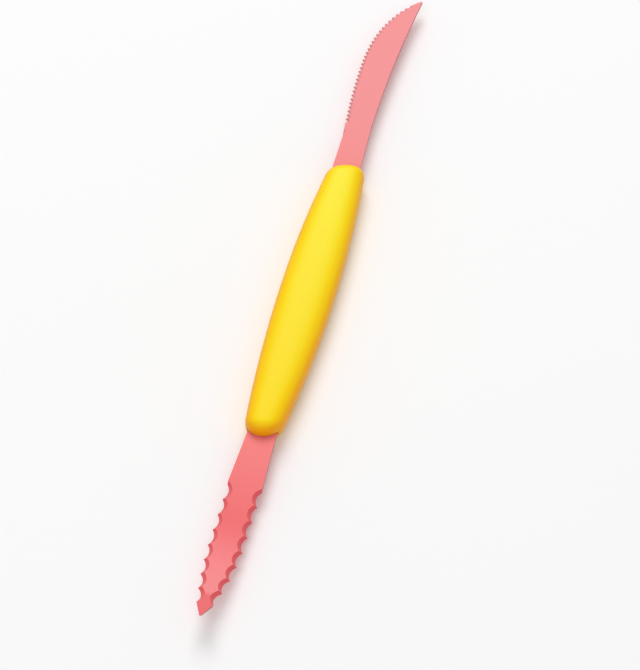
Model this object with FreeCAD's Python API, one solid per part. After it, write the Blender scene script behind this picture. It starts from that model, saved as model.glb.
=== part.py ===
import FreeCAD, Part
import math
import os

# Double-ended grapefruit knife, in millimetres.
# One moulded handle holds two stamped steel blades by their tangs.
# The knife lies flat on the belly of its handle: +X runs along the handle to
# the curved blade, +Y to that blade's cutting edge, +Z up from the surface.

# Handle: a barrel in plan, widest a little towards the curved blade, and oval in section.
# Its rounds are shares: the long ones of the narrowest half width, the ends of the long ones
HANDLE_LENGTH = 94.6
HANDLE_WIDTH = 17.2
HANDLE_THICKNESS = 10.8
HANDLE_WIDEST_AT = 3.0
HANDLE_BARREL_RADIUS = 420.0
HANDLE_LONG_ROUND_SHARE = 0.97
HANDLE_REAR_ROUND_SHARE = 0.95
HANDLE_FRONT_ROUND_SHARE = 0.7

# Steel that both blades are stamped from
BLADE_THICKNESS = 1.2

# Tang inside the handle: full width at the mouth, then narrower, with holes
# that the handle's plastic fills as pins
TANG_LENGTH = 32.0
TANG_SHOULDER = 6.0
TANG_WIDTH = 6.4
TANG_HOLE_COUNT = 2
TANG_HOLE_DIAMETER = 3.0
TANG_HOLE_FROM_END = 5.0
TANG_HOLE_SPACING = 11.0

# Curved blade, measured from the end of the handle
CURVED_REACH = 68.6
CURVED_ROOT_EDGE = 4.4
CURVED_ROOT_SPINE = 4.0
CURVED_WAIST_AT = 11.4
CURVED_WAIST_EDGE = 4.38
CURVED_SHOULDER_AT = 20.7
CURVED_SHOULDER_EDGE = 5.4
CURVED_BELLY_AT = 35.0
CURVED_BELLY_EDGE = 6.1
CURVED_BELLY_FALL_AT = 50.7
CURVED_BELLY_FALL_EDGE = 4.8
CURVED_NOSE_AT = 59.7
CURVED_NOSE_EDGE = 1.3
CURVED_SPINE_TURN_AT = 17.4
CURVED_SPINE_TURN = 3.3
CURVED_SPINE_RADIUS = 380.0
CURVED_TIP_BLUNT = 0.5

# Bevel ground on the upper face, along the curved blade's cutting edge
BEVEL_WIDTH = 1.3
BEVEL_LAND = 0.4

# Fine teeth of the curved blade: small round flutes ground across the bevel
FINE_TOOTH_PITCH = 1.53
FINE_TOOTH_FIRST_AT = 17.9
FINE_TOOTH_LAST_FROM_TIP = 3.0
FINE_FLUTE_RADIUS = 0.68
FINE_FLUTE_DEPTH = 0.5
FINE_FLUTE_TILT = 35.0

# Serrated blade, measured along the steel from the end of the handle, and set a
# little to the side of the handle's middle line
SERRATED_SIDE_SET = 0.25
SERRATED_ROOT_HALF_WIDTH = 4.25
SERRATED_HALF_WIDTH = 5.1
SERRATED_FLAT_LENGTH = 31.3
SERRATED_BEND_RADIUS = 70.0
SERRATED_TAPER_FROM = 33.2
SERRATED_TAPER_RADIUS = 89.0
SERRATED_TAPER_STEPS = 4

# Scallops ground along both of its edges, and the arrowhead that they leave
SCALLOP_COUNT = 8
SCALLOP_PITCH = 4.89
SCALLOP_FIRST_TOOTH_AT = 16.3
SCALLOP_DEPTH = 1.0
SCALLOP_WHEEL_RADIUS = 4.0
SCALLOP_TILT = 42.0
ARROWHEAD_LENGTH = 4.3
ARROWHEAD_POINT_HALF_WIDTH = 0.5
ARROWHEAD_POINT_LENGTH = 0.5
ARROWHEAD_GRIND_LENGTH = 8.2
ARROWHEAD_POINT_THICKNESS = 0.4

# How far a cutting shape passes the steel that it cuts
CUTTER_OVERRUN = 3.0

# How closely an edge's place is compared with the place that is looked for
SAME_PLACE = 0.01

HALF_BLADE = BLADE_THICKNESS / 2


def vec(x, y, z=0.0):
    return FreeCAD.Vector(x, y, z)


def line(start, end):
    return Part.makeLine(start, end)


def curve(points):
    spline = Part.BSplineCurve()
    spline.interpolate(points)
    return spline.toShape()


def arc(start, middle, end):
    return Part.Arc(start, middle, end).toShape()


def prism(edges, bottom, height):
    """Solid of a closed plan outline, drawn at z = 0."""
    face = Part.Face(Part.Wire(edges))
    face.translate(vec(0, 0, bottom))
    return face.extrude(vec(0, 0, height))


# Handle

def half_width(x):
    """Half of the handle's width at x, on the large circles of its two sides."""
    run = x - HANDLE_WIDEST_AT
    sag = HANDLE_BARREL_RADIUS - math.sqrt(HANDLE_BARREL_RADIUS ** 2 - run ** 2)
    return HANDLE_WIDTH / 2 - sag


def oval_barrel():
    """Bar with barrel-shaped sides, rounded along its length first and then round its ends."""
    rear = -HANDLE_LENGTH / 2
    front = HANDLE_LENGTH / 2
    corners = [
        vec(rear, -half_width(rear)),
        vec(front, -half_width(front)),
        vec(front, half_width(front)),
        vec(rear, half_width(rear)),
    ]
    outline = [
        arc(corners[0], vec(HANDLE_WIDEST_AT, -HANDLE_WIDTH / 2), corners[1]),
        line(corners[1], corners[2]),
        arc(corners[2], vec(HANDLE_WIDEST_AT, HANDLE_WIDTH / 2), corners[3]),
        line(corners[3], corners[0]),
    ]
    bar = prism(outline, -HANDLE_THICKNESS / 2, HANDLE_THICKNESS)
    long_round = HANDLE_LONG_ROUND_SHARE * min(half_width(rear), half_width(front), HANDLE_THICKNESS / 2)
    long_edges = [edge for edge in bar.Edges if edge.BoundBox.XLength > HANDLE_LENGTH / 2]
    bar = bar.makeFillet(long_round, long_edges)
    for end, share in ((rear, HANDLE_REAR_ROUND_SHARE), (front, HANDLE_FRONT_ROUND_SHARE)):
        rim = [edge for edge in bar.Edges if is_in_plane(edge, end)]
        bar = bar.makeFillet(share * long_round, rim)
    return bar


def is_in_plane(edge, x):
    """True for an edge that lies in the plane across the handle at x."""
    box = edge.BoundBox
    return box.XLength < SAME_PLACE and abs(box.Center.x - x) < SAME_PLACE


# Tangs, drawn with the blade reaching out along +X from the mouth at x = 0

def tang_sides(edge_y, spine_y):
    """Outline edges from the blade's edge side, round the tang, to its spine side."""
    half = TANG_WIDTH / 2
    straight_end = half - TANG_LENGTH
    corners = [
        vec(0, edge_y),
        vec(-TANG_SHOULDER, edge_y),
        vec(-TANG_SHOULDER, half),
        vec(straight_end, half),
    ]
    back = [
        vec(straight_end, -half),
        vec(-TANG_SHOULDER, -half),
        vec(-TANG_SHOULDER, spine_y),
        vec(0, spine_y),
    ]
    edges = [line(a, b) for a, b in zip(corners, corners[1:])]
    edges.append(arc(corners[-1], vec(-TANG_LENGTH, 0), back[0]))
    edges += [line(a, b) for a, b in zip(back, back[1:])]
    return edges


def tang_holes():
    holes = []
    for step in range(TANG_HOLE_COUNT):
        x = TANG_HOLE_FROM_END - TANG_LENGTH + step * TANG_HOLE_SPACING
        base = vec(x, 0, -BLADE_THICKNESS)
        holes.append(Part.makeCylinder(TANG_HOLE_DIAMETER / 2, 2 * BLADE_THICKNESS, base))
    return holes


# Ground teeth of both blades

def grinding_pass(radius, tilt_deg, deepest, normal, side):
    """Round wheel pass across an edge on the given side of the blade.

    It leans inwards as it rises, so it cuts further into the upper face, and
    deepest is the point that it reaches on the lower face.
    """
    tilt = math.radians(tilt_deg)
    axis = normal * math.cos(tilt) - vec(0, side * math.sin(tilt))
    centre = deepest + vec(0, side * radius / math.cos(tilt))
    half_length = radius * math.tan(tilt) + CUTTER_OVERRUN
    return Part.makeCylinder(radius, 2 * half_length, centre - axis * half_length, axis)


# Curved blade

def spine_y(x):
    """Spine of the curved blade past its turn, on a large circle."""
    run = x - CURVED_SPINE_TURN_AT
    return -CURVED_SPINE_TURN - CURVED_SPINE_RADIUS + math.sqrt(CURVED_SPINE_RADIUS ** 2 - run ** 2)


def cutting_edge_points():
    return [
        vec(CURVED_WAIST_AT, CURVED_WAIST_EDGE),
        vec(CURVED_SHOULDER_AT, CURVED_SHOULDER_EDGE),
        vec(CURVED_BELLY_AT, CURVED_BELLY_EDGE),
        vec(CURVED_BELLY_FALL_AT, CURVED_BELLY_FALL_EDGE),
        vec(CURVED_NOSE_AT, CURVED_NOSE_EDGE),
        vec(CURVED_REACH, spine_y(CURVED_REACH) + CURVED_TIP_BLUNT),
    ]


def bevel_line_points():
    """Inner line of the bevel: it leaves the edge at the waist and meets the spine."""
    points = cutting_edge_points()
    inner = [points[0]]
    for before, here, after in zip(points, points[1:], points[2:]):
        along = after - before
        inward = vec(along.y, -along.x)
        inward.normalize()
        inner.append(here + inward * BEVEL_WIDTH)
    end_x = CURVED_REACH - BEVEL_WIDTH
    inner.append(vec(end_x, spine_y(end_x) + CURVED_TIP_BLUNT))
    return inner


def curved_outline(edge_points, z):
    """Closed plan outline of the curved blade and its tang at height z."""
    root_edge = vec(0, CURVED_ROOT_EDGE)
    turn = vec(CURVED_SPINE_TURN_AT, -CURVED_SPINE_TURN)
    tip = edge_points[-1]
    spine_end = tip.x - CURVED_TIP_BLUNT
    middle_x = (turn.x + spine_end) / 2
    edges = tang_sides(CURVED_ROOT_EDGE, -CURVED_ROOT_SPINE)
    edges.append(line(vec(0, -CURVED_ROOT_SPINE), turn))
    edges.append(arc(turn, vec(middle_x, spine_y(middle_x)), vec(spine_end, spine_y(spine_end))))
    edges.append(line(vec(spine_end, spine_y(spine_end)), tip))
    edges.append(curve(list(reversed(edge_points))))
    edges.append(line(edge_points[0], root_edge))
    wire = Part.Wire(edges)
    wire.translate(vec(0, 0, z))
    return wire


def edge_height(x):
    """Y of the cutting edge at x."""
    edge = curve(cutting_edge_points())
    cut = edge.distToShape(line(vec(x, -HANDLE_WIDTH), vec(x, HANDLE_WIDTH)))
    return cut[1][0][0].y


def fine_flutes():
    room = CURVED_REACH - FINE_TOOTH_LAST_FROM_TIP - FINE_TOOTH_FIRST_AT
    flutes = []
    for step in range(int(room / FINE_TOOTH_PITCH) + 1):
        x = FINE_TOOTH_FIRST_AT + step * FINE_TOOTH_PITCH
        deepest = vec(x, edge_height(x) - FINE_FLUTE_DEPTH, -HALF_BLADE)
        flutes.append(grinding_pass(FINE_FLUTE_RADIUS, FINE_FLUTE_TILT, deepest, vec(0, 0, 1), 1))
    return flutes


def curved_blade():
    edge = cutting_edge_points()
    land = BEVEL_LAND - HALF_BLADE
    stock = prism(curved_outline(edge, 0).Edges, -HALF_BLADE, BEVEL_LAND)
    sections = [curved_outline(edge, land), curved_outline(bevel_line_points(), HALF_BLADE)]
    ground = Part.makeLoft(sections, True, True)
    blade = stock.fuse(ground).removeSplitter()
    return blade.cut(tang_holes() + fine_flutes())


# Serrated blade

def station(s):
    """Place, outward direction and upward normal at s along the steel."""
    if s <= SERRATED_FLAT_LENGTH:
        return vec(s, 0, 0), vec(1, 0, 0), vec(0, 0, 1)
    angle = (s - SERRATED_FLAT_LENGTH) / SERRATED_BEND_RADIUS
    place = vec(SERRATED_FLAT_LENGTH + SERRATED_BEND_RADIUS * math.sin(angle), 0,
                SERRATED_BEND_RADIUS * (1 - math.cos(angle)))
    return place, vec(math.cos(angle), 0, math.sin(angle)), vec(-math.sin(angle), 0, math.cos(angle))


def shoulder_at():
    return SCALLOP_FIRST_TOOTH_AT + SCALLOP_COUNT * SCALLOP_PITCH


def serrated_reach():
    return shoulder_at() + ARROWHEAD_LENGTH


def tooth_line(s):
    """Half width over the tooth tips at s."""
    if s <= SERRATED_TAPER_FROM:
        return SERRATED_HALF_WIDTH
    return SERRATED_HALF_WIDTH - (s - SERRATED_TAPER_FROM) ** 2 / (2 * SERRATED_TAPER_RADIUS)


def plan(s, half_width):
    return vec(station(s)[0].x, half_width)


def bent_strip():
    """The steel seen from the side: flat, then curved up, as wide as the handle."""
    end = serrated_reach() + CUTTER_OVERRUN
    middle = (SERRATED_FLAT_LENGTH + end) / 2
    faces = []
    for offset in (-HALF_BLADE, HALF_BLADE):
        points = []
        for s in (-TANG_LENGTH, SERRATED_FLAT_LENGTH, middle, end):
            place, _, normal = station(s)
            points.append(place + normal * offset)
        faces.append(points)
    low, high = faces
    side = Part.Wire([
        line(low[0], low[1]),
        arc(low[1], low[2], low[3]),
        line(low[3], high[3]),
        arc(high[3], high[2], high[1]),
        line(high[1], high[0]),
        line(high[0], low[0]),
    ])
    face = Part.Face(side)
    face.translate(vec(0, -HANDLE_WIDTH / 2, 0))
    return face.extrude(vec(0, HANDLE_WIDTH, 0))


def serrated_outline():
    """Closed plan outline over the tooth tips, with the arrowhead."""
    first = SCALLOP_FIRST_TOOTH_AT
    shoulder = shoulder_at()
    point = serrated_reach() - ARROWHEAD_POINT_LENGTH
    taper = []
    for step in range(SERRATED_TAPER_STEPS + 1):
        s = SERRATED_TAPER_FROM + (shoulder - SERRATED_TAPER_FROM) * step / SERRATED_TAPER_STEPS
        taper.append(plan(s, tooth_line(s)))
    upper = [
        line(plan(0, SERRATED_ROOT_HALF_WIDTH), plan(first, SERRATED_HALF_WIDTH)),
        line(plan(first, SERRATED_HALF_WIDTH), taper[0]),
        curve(taper),
        line(taper[-1], plan(point, ARROWHEAD_POINT_HALF_WIDTH)),
    ]
    lower = [edge.mirror(vec(0, 0), vec(0, 1)) for edge in upper]
    nose_start = plan(point, ARROWHEAD_POINT_HALF_WIDTH)
    nose_end = plan(point, -ARROWHEAD_POINT_HALF_WIDTH)
    nose = arc(nose_start, plan(serrated_reach(), 0), nose_end)
    tang = tang_sides(SERRATED_ROOT_HALF_WIDTH, -SERRATED_ROOT_HALF_WIDTH)
    return Part.sortEdges(upper + [nose] + lower + tang)[0]


def scallop_cutters():
    cutters = []
    for gap in range(SCALLOP_COUNT):
        s = SCALLOP_FIRST_TOOTH_AT + (gap + 0.5) * SCALLOP_PITCH
        place, _, normal = station(s)
        for side in (1, -1):
            deepest = place - normal * HALF_BLADE + vec(0, side * (tooth_line(s) - SCALLOP_DEPTH))
            cutters.append(grinding_pass(SCALLOP_WHEEL_RADIUS, SCALLOP_TILT, deepest, normal, side))
    return cutters


def point_grind():
    """Wedge that thins the upper face towards the arrowhead's point."""
    start, _, start_up = station(serrated_reach() - ARROWHEAD_GRIND_LENGTH)
    end, _, end_up = station(serrated_reach())
    top = start + start_up * HALF_BLADE
    low = end + end_up * (ARROWHEAD_POINT_THICKNESS - HALF_BLADE)
    slope = low - top
    slope.normalize()
    far = low + slope * CUTTER_OVERRUN
    rise = start_up * (2 * CUTTER_OVERRUN)
    side = Part.makePolygon([top, far, far + rise, top + rise, top])
    face = Part.Face(side)
    face.translate(vec(0, -HANDLE_WIDTH / 2, 0))
    return face.extrude(vec(0, HANDLE_WIDTH, 0))


def serrated_blade():
    rise = station(serrated_reach())[0].z + 2 * CUTTER_OVERRUN
    blank = bent_strip().common(prism(serrated_outline(), -CUTTER_OVERRUN, rise))
    blade = blank.cut(tang_holes() + scallop_cutters() + [point_grind()])
    blade.rotate(vec(0, 0), vec(0, 0, 1), 180)
    return blade


def build():
    curved = curved_blade()
    curved.translate(vec(HANDLE_LENGTH / 2, 0))
    serrated = serrated_blade()
    serrated.translate(vec(-HANDLE_LENGTH / 2, -SERRATED_SIDE_SET))
    handle = oval_barrel().cut([curved, serrated])
    return {"handle": handle, "curved_blade": curved, "serrated_blade": serrated}


def centre_on_base(shapes):
    """Move the knife so that it lies on z = 0, with its tips equally far from the origin."""
    serrated_tip = station(serrated_reach())[0].x
    shift = vec((serrated_tip - CURVED_REACH) / 2, 0, HANDLE_THICKNESS / 2)
    for shape in shapes.values():
        shape.translate(shift)


shapes = build()
centre_on_base(shapes)
os.makedirs("parts", exist_ok=True)
for name, shape in shapes.items():
    print(name, "solids", len(shape.Solids), "valid", shape.isValid(), "faces", len(shape.Faces),
          "volume", round(shape.Volume, 2), "box", shape.optimalBoundingBox(False, False))
    shape.exportStep("parts/" + name + ".step")
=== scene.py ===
import bmesh
import bpy
import math
from mathutils import Matrix, Vector


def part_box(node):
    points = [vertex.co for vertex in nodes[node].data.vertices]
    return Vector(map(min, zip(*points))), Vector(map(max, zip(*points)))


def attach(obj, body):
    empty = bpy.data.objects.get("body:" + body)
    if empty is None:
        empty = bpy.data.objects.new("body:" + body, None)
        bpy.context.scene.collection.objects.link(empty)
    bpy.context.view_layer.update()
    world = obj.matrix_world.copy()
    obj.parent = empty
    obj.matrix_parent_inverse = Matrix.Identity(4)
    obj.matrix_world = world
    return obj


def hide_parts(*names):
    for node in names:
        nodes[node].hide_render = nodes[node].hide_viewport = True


MM = 0.001

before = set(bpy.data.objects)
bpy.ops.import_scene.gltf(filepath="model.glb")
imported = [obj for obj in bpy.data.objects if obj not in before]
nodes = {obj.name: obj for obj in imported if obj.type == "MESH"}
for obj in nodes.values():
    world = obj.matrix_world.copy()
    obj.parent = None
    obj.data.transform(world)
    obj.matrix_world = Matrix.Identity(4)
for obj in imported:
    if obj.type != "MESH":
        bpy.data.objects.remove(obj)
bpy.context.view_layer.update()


# Materials

# The sockets of a colour mix go by place, as other mixes share their names
MIX_FIRST = 6
MIX_SECOND = 7
MIX_RESULT = 2
FINE_DETAIL = 3.0
RELIEF_DEPTH = 0.05 * MM


def colour(red, green, blue):
    """Linear light of a colour that is written as seen, 0 to 255, by the sRGB curve."""
    linear = []
    for value in (red, green, blue):
        share = value / 255
        linear.append(share / 12.92 if share <= 0.04045 else ((share + 0.055) / 1.055) ** 2.4)
    return (*linear, 1.0)


class Graph:
    """A material's node graph, with short calls for the nodes used here."""

    def __init__(self, name):
        self.material = bpy.data.materials.new(name)
        self.material.use_nodes = True
        self.tree = self.material.node_tree
        self.shader = self.tree.nodes["Principled BSDF"]

    def add(self, kind, **settings):
        node = self.tree.nodes.new(kind)
        for key, value in settings.items():
            setattr(node, key, value)
        return node

    def put(self, value, socket):
        """Link an output to a socket, or set the socket to a constant."""
        if hasattr(value, "links"):
            self.tree.links.new(value, socket)
        else:
            socket.default_value = value

    def surface(self, values):
        """Put values in the shader's own sockets, by their names."""
        for name, value in values.items():
            self.put(value, self.shader.inputs[name])

    def position(self):
        """The place on the object, in metres in the shared frame."""
        return self.add("ShaderNodeTexCoord").outputs["Object"]

    def stretched(self, scale):
        """The place on the object, stretched so that noise in it runs in lines."""
        node = self.add("ShaderNodeMapping")
        node.inputs["Scale"].default_value = scale
        self.put(self.position(), node.inputs["Vector"])
        return node.outputs["Vector"]

    def facing(self, axis):
        """How far the surface faces along one axis, from 0 to 1, either way."""
        axes = self.add("ShaderNodeSeparateXYZ")
        self.put(self.add("ShaderNodeTexCoord").outputs["Normal"], axes.inputs["Vector"])
        size = self.add("ShaderNodeMath", operation="ABSOLUTE")
        self.put(axes.outputs[axis], size.inputs[0])
        return size.outputs["Value"]

    def along(self, low, high):
        """Share of the way from low to high along X, in metres."""
        axes = self.add("ShaderNodeSeparateXYZ")
        self.put(self.position(), axes.inputs["Vector"])
        return self.span(axes.outputs["X"], low, high)

    def span(self, value, low, high):
        """Share of the way that a value has come from low to high, from 0 to 1."""
        node = self.add("ShaderNodeMapRange")
        node.inputs["From Min"].default_value = low
        node.inputs["From Max"].default_value = high
        self.put(value, node.inputs["Value"])
        return node.outputs["Result"]

    def spread(self, share, low, high):
        """A value from low to high, for a share from 0 to 1."""
        node = self.add("ShaderNodeMapRange")
        node.inputs["To Min"].default_value = low
        node.inputs["To Max"].default_value = high
        self.put(share, node.inputs["Value"])
        return node.outputs["Result"]

    def ramp(self, factor, stops):
        node = self.add("ShaderNodeValToRGB")
        elements = node.color_ramp.elements
        elements[0].position, elements[0].color = stops[0]
        elements[1].position, elements[1].color = stops[-1]
        for place, shade in stops[1:-1]:
            elements.new(place).color = shade
        self.put(factor, node.inputs["Fac"])
        return node.outputs["Color"]

    def noise(self, vector, scale, detail=2.0):
        node = self.add("ShaderNodeTexNoise")
        node.inputs["Scale"].default_value = scale
        node.inputs["Detail"].default_value = detail
        self.put(vector, node.inputs["Vector"])
        return node.outputs["Fac"]

    def mix(self, share, first, second, blend="MIX"):
        node = self.add("ShaderNodeMix", data_type="RGBA", blend_type=blend)
        self.put(share, node.inputs["Factor"])
        self.put(first, node.inputs[MIX_FIRST])
        self.put(second, node.inputs[MIX_SECOND])
        return node.outputs[MIX_RESULT]

    def bump(self, height, strength):
        node = self.add("ShaderNodeBump")
        node.inputs["Strength"].default_value = strength
        node.inputs["Distance"].default_value = RELIEF_DEPTH
        self.put(height, node.inputs["Height"])
        self.put(node.outputs["Normal"], self.shader.inputs["Normal"])


def paint(obj, material):
    obj.data.materials.clear()
    obj.data.materials.append(material)


# Coating of the blades

# A blade has tones along X, between two places in metres: from root to tip on the curved
# blade, from tip to root on the serrated one. These tones are painted reflections and painted
# shade on one pink coating. Its ground steel, under the same coating, goes by an axis, a span
# of how far the surface faces along that axis, and a tone: painted shade on the serrated
# blade, painted light on the curved one.
COATINGS = {
    "curved_blade": (
        [
            (0.0, colour(240, 130, 129)),
            (0.3, colour(240, 135, 137)),
            (1.0, colour(241, 137, 140)),
        ],
        (0.043, 0.111),
        ("Z", (0.985, 0.93), colour(241, 152, 154)),
    ),
    "serrated_blade": (
        [
            (0.0, colour(233, 93, 96)),
            (0.115, colour(234, 95, 98)),
            (0.135, colour(244, 132, 134)),
            (0.32, colour(244, 119, 122)),
            (0.54, colour(240, 97, 100)),
            (0.86, colour(243, 115, 115)),
            (1.0, colour(243, 120, 119)),
        ],
        (-0.111, -0.052),
        ("Y", (0.2, 0.38), colour(230, 86, 92)),
    ),
}
# Painted shade on the blades' cut edges and steep faces, and darker painted shade along their
# long sides
CUT_EDGE_FACING = (0.45, 0.25)
CUT_EDGE_SHADE = colour(203, 118, 114)
LONG_EDGE_FACING = (0.75, 0.9)
LONG_EDGE_SHADE = colour(172, 92, 84)
SPECKLE_SCALE = 4000.0
SPECKLE_SPAN = (0.35, 0.65)
SPECKLE_SHARE = 0.04
SPECKLE_TONE = colour(255, 235, 235)
SPRAY_SCALE = 1500.0
GRIND_STRETCH = (9000.0, 400.0, 400.0)
GRIND_SCALE = 1.0
COATING_RELIEF = 0.12
COATING_ROUGHNESS = (0.38, 0.5)
COATING_SPECULAR = 0.3


def coating(name, stops, places, ground):
    """Satin non-stick coating, with painted reflections and shade along the blade, and
    painted light and shade on its ground steel and edges.
    """
    graph = Graph(name)
    ground_axis, ground_facing, ground_painted_tone = ground
    ground_share = graph.span(graph.facing(ground_axis), *ground_facing)
    cut_edge = graph.span(graph.facing("Z"), *CUT_EDGE_FACING)
    long_edge = graph.span(graph.facing("Y"), *LONG_EDGE_FACING)
    speckle = graph.span(graph.noise(graph.position(), SPECKLE_SCALE), *SPECKLE_SPAN)
    # Painted reflections and painted shade along the blade
    tone = graph.ramp(graph.along(*places), stops)
    # Painted light on the curved blade's ground steel, painted shade on the serrated blade's
    tone = graph.mix(ground_share, tone, ground_painted_tone)
    # Painted shade on the cut edges and along the long sides
    tone = graph.mix(cut_edge, tone, CUT_EDGE_SHADE)
    tone = graph.mix(long_edge, tone, LONG_EDGE_SHADE)
    tone = graph.mix(speckle, tone, graph.mix(SPECKLE_SHARE, tone, SPECKLE_TONE))
    spray = graph.noise(graph.position(), SPRAY_SCALE, FINE_DETAIL)
    grind = graph.noise(graph.stretched(GRIND_STRETCH), GRIND_SCALE)
    graph.bump(graph.mix(ground_share, spray, grind), COATING_RELIEF)
    graph.surface({
        "Base Color": tone,
        "Roughness": graph.spread(spray, *COATING_ROUGHNESS),
        "Specular IOR Level": COATING_SPECULAR,
    })
    return graph.material


for blade, looks in COATINGS.items():
    paint(nodes[blade], coating(blade + "_coating", *looks))


# Plastic of the handle

# The tones go by how far the surface faces up or down: over the plastic's own yellow, painted
# shade deepens to orange towards the sides and ends, and a paler painted highlight lies on
# top
PLASTIC_TONES_WITH_SHADE_AND_HIGHLIGHT = [
    (0.0, colour(252, 174, 8)),
    (0.3, colour(254, 181, 8)),
    (0.62, colour(255, 196, 8)),
    (0.9, colour(255, 219, 12)),
    (1.0, colour(255, 234, 50)),
]
# Painted shade towards the handle's rear end, between two places along X in metres
REAR_SHADE_PLACES = (0.035, -0.05)
REAR_SHADE = colour(255, 241, 120)

CLOUD_SCALE = 90.0
CLOUD_SPAN = (0.3, 0.7)
CLOUD_SHARE = 0.05
CLOUD_TONE = colour(255, 236, 90)
GRAIN_SCALE = 1200.0
GRAIN_RELIEF = 0.06
PLASTIC_SURFACE = {
    "Roughness": 0.42,
    "Specular IOR Level": 0.14,
    "Subsurface Weight": 0.3,
    "Subsurface Radius": (0.004, 0.0016, 0.0004),
    "Subsurface Scale": 1.0,
}


def handle_plastic():
    """Moulded plastic that lets a little light in, with painted shade deeper towards its
    sides and ends and a painted highlight on top.
    """
    graph = Graph("handle_plastic")
    # Painted shade towards the sides and ends, painted highlight on top
    tone = graph.ramp(graph.facing("Z"), PLASTIC_TONES_WITH_SHADE_AND_HIGHLIGHT)
    # Painted shade towards the rear end
    shaded = graph.mix(1.0, tone, REAR_SHADE, "MULTIPLY")
    tone = graph.mix(graph.along(*REAR_SHADE_PLACES), tone, shaded)
    cloud = graph.span(graph.noise(graph.position(), CLOUD_SCALE), *CLOUD_SPAN)
    tone = graph.mix(cloud, tone, graph.mix(CLOUD_SHARE, tone, CLOUD_TONE))
    graph.bump(graph.noise(graph.position(), GRAIN_SCALE, FINE_DETAIL), GRAIN_RELIEF)
    graph.surface({"Base Color": tone, **PLASTIC_SURFACE})
    return graph.material


# Handle: a soft barrel with a crowned top and belly, its ends a little oblique

low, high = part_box("handle")
REAR = low[0] + 0.2 * MM
FRONT = high[0] + 0.5 * MM
WIDEST_AT = (low[0] + high[0]) / 2 + 3.0 * MM
HALF_THICKNESS = (high[2] - low[2]) / 2

# A side's half width, and the radii of its curve behind and before the widest place
EDGE_SIDE = (8.15 * MM, 0.400, 0.345)
SPINE_SIDE = (8.5 * MM, 0.390, 0.350)

OVAL_POWER = 2.6
REAR_ROUND = 4.9 * MM
REAR_EDGE_ROUND = 3.6 * MM
FRONT_ROUND = 3.67 * MM
FRONT_SKEW = 0.25
FRONT_SKEW_FROM = 10.0 * MM
REAR_SKEW = 0.15
REAR_SKEW_FROM = -20.0 * MM
ROUND_STEPS = 16
LENGTH_STEPS = 60
RING_STEPS = 96
SHARP_ANGLE = math.radians(40)

# The gap round each blade's root, and the places of the blade's sides across Y
MOUTH_GAP = 0.35 * MM
MOUTH_DEPTH = 3.0 * MM
BLADE_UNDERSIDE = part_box("curved_blade")[0][2]
BLADE_THICKNESS = 1.2 * MM
REAR_BLADE_SIDES = (-4.5 * MM, 4.0 * MM)
FRONT_BLADE_SIDES = (-4.0 * MM, 4.4 * MM)


def half_width(x, side):
    """Half width at x, on the large circles behind and before the widest place."""
    widest, rear_radius, front_radius = side
    run = x - WIDEST_AT
    radius = front_radius if run > 0 else rear_radius
    return widest - (radius - math.sqrt(radius * radius - run * run))


def ease(share):
    """A soft step from 0 to 1."""
    share = min(max(share, 0.0), 1.0)
    return share * share * (3 - 2 * share)


def handle_stations():
    """Places along the handle, closer together where its ends round off."""
    turns = [math.pi / 2 * step / ROUND_STEPS for step in range(ROUND_STEPS + 1)]
    start = REAR + REAR_ROUND
    run = FRONT - FRONT_ROUND - start
    places = [REAR + REAR_ROUND * (1 - math.cos(turn)) for turn in turns]
    places += [start + run * step / LENGTH_STEPS for step in range(1, LENGTH_STEPS)]
    places += [FRONT - FRONT_ROUND * (1 - math.cos(turn)) for turn in reversed(turns)]
    return places


def drawn_in(inset, radius):
    """How far a quarter round has drawn in, at a distance inside the end."""
    left = max(radius - inset, 0.0)
    return radius - math.sqrt(max(radius * radius - left * left, 0.0))


def oval(value):
    """A cosine or sine, bent from a circle's to the oval's."""
    return math.copysign(abs(value) ** (2 / OVAL_POWER), value)


def section(x):
    """One ring of the barrel: an oval, drawn in at the ends and skewed towards them."""
    front = drawn_in(FRONT - x, FRONT_ROUND)
    from_side = max(drawn_in(x - REAR, REAR_ROUND), front)
    from_top = max(drawn_in(x - REAR, REAR_EDGE_ROUND), front)
    skew = FRONT_SKEW * ease((x - FRONT_SKEW_FROM) / (FRONT - FRONT_SKEW_FROM))
    skew += REAR_SKEW * ease((REAR_SKEW_FROM - x) / (REAR_SKEW_FROM - REAR))
    ring = []
    for step in range(RING_STEPS):
        angle = 2 * math.pi * step / RING_STEPS
        across = oval(math.cos(angle))
        upward = oval(math.sin(angle))
        side = EDGE_SIDE if across > 0 else SPINE_SIDE
        y = (half_width(x, side) - from_side) * across
        z = HALF_THICKNESS + (HALF_THICKNESS - from_top) * upward
        ring.append(Vector((x - skew * y, y, z)))
    return ring


def make_barrel(name):
    """The whole handle, as a closed mesh of rings."""
    form = bmesh.new()
    rings = []
    for x in handle_stations():
        rings.append([form.verts.new(point) for point in section(x)])
    for first, second in zip(rings, rings[1:]):
        for step in range(RING_STEPS):
            after = (step + 1) % RING_STEPS
            form.faces.new((first[step], first[after], second[after], second[step]))
    form.faces.new(rings[0][::-1])
    form.faces.new(rings[-1])
    bmesh.ops.recalc_face_normals(form, faces=form.faces)
    mesh = bpy.data.meshes.new(name)
    form.to_mesh(mesh)
    form.free()
    obj = bpy.data.objects.new(name, mesh)
    bpy.context.scene.collection.objects.link(obj)
    return obj


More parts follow.
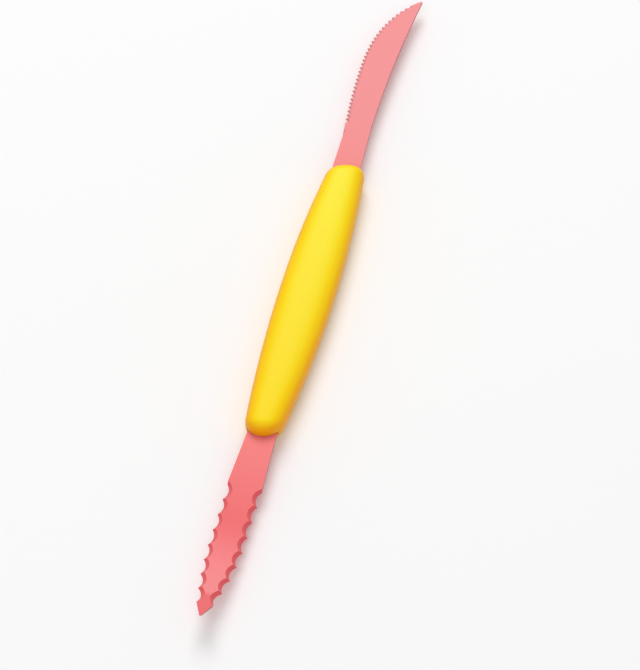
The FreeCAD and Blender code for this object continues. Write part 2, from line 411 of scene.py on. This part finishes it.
def cut_mouth(obj, end, sides):
    """Cut a box out of one end, so that a thin shadow gap runs round the blade's root."""
    underside = BLADE_UNDERSIDE - MOUTH_GAP
    upside = BLADE_UNDERSIDE + BLADE_THICKNESS + MOUTH_GAP
    lowest = Vector((end - MOUTH_DEPTH, sides[0] - MOUTH_GAP, underside))
    highest = Vector((end + MOUTH_DEPTH, sides[1] + MOUTH_GAP, upside))
    bpy.ops.mesh.primitive_cube_add(size=1.0)
    cutter = bpy.context.object
    cutter.dimensions = highest - lowest
    cutter.location = (lowest + highest) / 2
    cut = obj.modifiers.new("mouth", "BOOLEAN")
    cut.operation = "DIFFERENCE"
    cut.solver = "EXACT"
    cut.object = cutter
    bpy.context.view_layer.update()
    shaped = obj.evaluated_get(bpy.context.evaluated_depsgraph_get())
    mesh = bpy.data.meshes.new_from_object(shaped)
    obj.modifiers.clear()
    obj.data = mesh
    bpy.data.objects.remove(cutter)


handle = make_barrel("handle_moulding")
cut_mouth(handle, REAR, REAR_BLADE_SIDES)
cut_mouth(handle, FRONT, FRONT_BLADE_SIDES)
handle.data.shade_smooth()
handle.data.set_sharp_from_angle(angle=SHARP_ANGLE)
paint(handle, handle_plastic())
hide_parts("handle")
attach(handle, "root")


# Camera: above the serrated end and to the right of it, looking down along the knife

HANDLE_MIDDLE = (Vector(low) + Vector(high)) / 2

# Its places were fitted to the photograph in mm, from near the middle of the handle
FIT_SHIFT = Vector((1.3, 0.02, 0.0)) * MM
FIT_TURN = Matrix.Rotation(math.radians(0.1), 3, "Z")
FIT_EYE = (-332.7, -97.3, 614.0)
FIT_TARGET = (-8.755, -7.576, 0.0)
FIT_RIGHT = (0.26688, -0.96373, 0.0)

SENSOR_HEIGHT = 36.0
LENS = 127.5
NEAREST_SEEN = 0.01


def from_fit(place):
    """A place in the shared frame, from a fitted one."""
    return HANDLE_MIDDLE + FIT_TURN @ (Vector(place) * MM - FIT_SHIFT)


eye = from_fit(FIT_EYE)
back = (eye - from_fit(FIT_TARGET)).normalized()
right = FIT_TURN @ Vector(FIT_RIGHT)
right = (right - back * right.dot(back)).normalized()
up = back.cross(right)

camera_data = bpy.data.cameras.new("camera")
camera_data.sensor_fit = "VERTICAL"
camera_data.sensor_height = SENSOR_HEIGHT
camera_data.lens = LENS
camera_data.clip_start = NEAREST_SEEN
camera = bpy.data.objects.new("camera", camera_data)
bpy.context.scene.collection.objects.link(camera)
axes = Matrix((right, up, back)).transposed().to_4x4()
camera.matrix_world = Matrix.Translation(eye) @ axes
bpy.context.scene.camera = camera


# Stage: a pale floor, a large soft key light, a larger weak fill and an even surround

FLOOR_SIZE = 6.0
FLOOR_TONES = (colour(250, 250, 250), colour(252, 252, 252))
FLOOR_PATCH_SCALE = 8.0
FLOOR_SURFACE = {"Roughness": 0.8, "Specular IOR Level": 0.1}

# A light's name, place, size in metres and power
KEY_LIGHT = ("key", (1.0, 0.35, 1.5), 1.1, 15.5)
FILL_LIGHT = ("fill", (-0.9, 0.0, 1.3), 1.6, 5.5)

SURROUND_COLOUR = (1.0, 1.0, 1.0, 1.0)
SURROUND_STRENGTH = 0.5

bpy.ops.mesh.primitive_plane_add(size=FLOOR_SIZE, location=(0, 0, 0))
floor = bpy.context.object
floor.name = "floor"
floor_graph = Graph("floor")
floor_patches = floor_graph.noise(floor_graph.position(), FLOOR_PATCH_SCALE)
floor_tone = floor_graph.mix(floor_patches, *FLOOR_TONES)
floor_graph.surface({"Base Color": floor_tone, **FLOOR_SURFACE})
paint(floor, floor_graph.material)


def area_light(name, place, size, power):
    """A round light that is aimed at the middle of the frame."""
    data = bpy.data.lights.new(name, "AREA")
    data.shape = "DISK"
    data.size = size
    data.energy = power
    light = bpy.data.objects.new(name, data)
    bpy.context.scene.collection.objects.link(light)
    light.location = place
    light.rotation_euler = (-Vector(place)).to_track_quat("-Z", "Y").to_euler()


area_light(*KEY_LIGHT)
area_light(*FILL_LIGHT)

world = bpy.data.worlds.new("surround")
world.use_nodes = True
background = world.node_tree.nodes["Background"]
background.inputs["Color"].default_value = SURROUND_COLOUR
background.inputs["Strength"].default_value = SURROUND_STRENGTH
bpy.context.scene.world = world

bpy.context.scene.view_settings.view_transform = "Standard"
